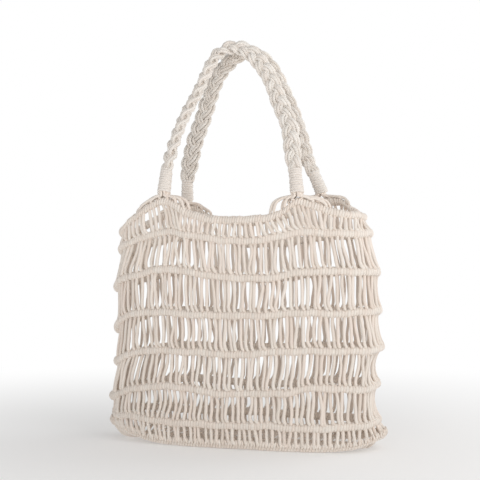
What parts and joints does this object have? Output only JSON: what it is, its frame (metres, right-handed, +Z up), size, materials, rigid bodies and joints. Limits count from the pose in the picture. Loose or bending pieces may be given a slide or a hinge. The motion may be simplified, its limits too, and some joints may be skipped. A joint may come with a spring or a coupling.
{
  "type": "beach bag",
  "caption": "Open beach tote knotted from cotton cord: wrapped ropes round a see-through body, a net of upright cords between them, and two plaited handles.",
  "frame": {"origin": "on the floor that the bag stands on, under the middle of its bounding box", "axes": "+X to the right along the bag's width, +Y from its front to its back, +Z up from the floor to the handles"},
  "size_m": [0.3358, 0.1086, 0.4809],
  "materials": {
    "cotton_cord": "matt off-white twisted cotton cord"
  },
  "bodies": {
    "root": {"rim_rope": "cotton_cord", "rib_1": "cotton_cord", "rib_2": "cotton_cord", "rib_3": "cotton_cord", "rib_4": "cotton_cord", "rib_5": "cotton_cord", "rib_6": "cotton_cord", "base_rope": "cotton_cord", "net_band_1": "cotton_cord", "net_band_2": "cotton_cord", "net_band_3": "cotton_cord", "net_band_4": "cotton_cord", "net_band_5": "cotton_cord", "net_band_6": "cotton_cord", "net_band_7": "cotton_cord", "base_net": "cotton_cord", "front_handle_braid": "cotton_cord", "back_handle_braid": "cotton_cord", "front_left_whipping": "cotton_cord", "front_right_whipping": "cotton_cord", "back_left_whipping": "cotton_cord", "back_right_whipping": "cotton_cord", "front_left_fan": "cotton_cord", "front_right_fan": "cotton_cord", "back_left_fan": "cotton_cord", "back_right_fan": "cotton_cord"}
  },
  "joints": []
}
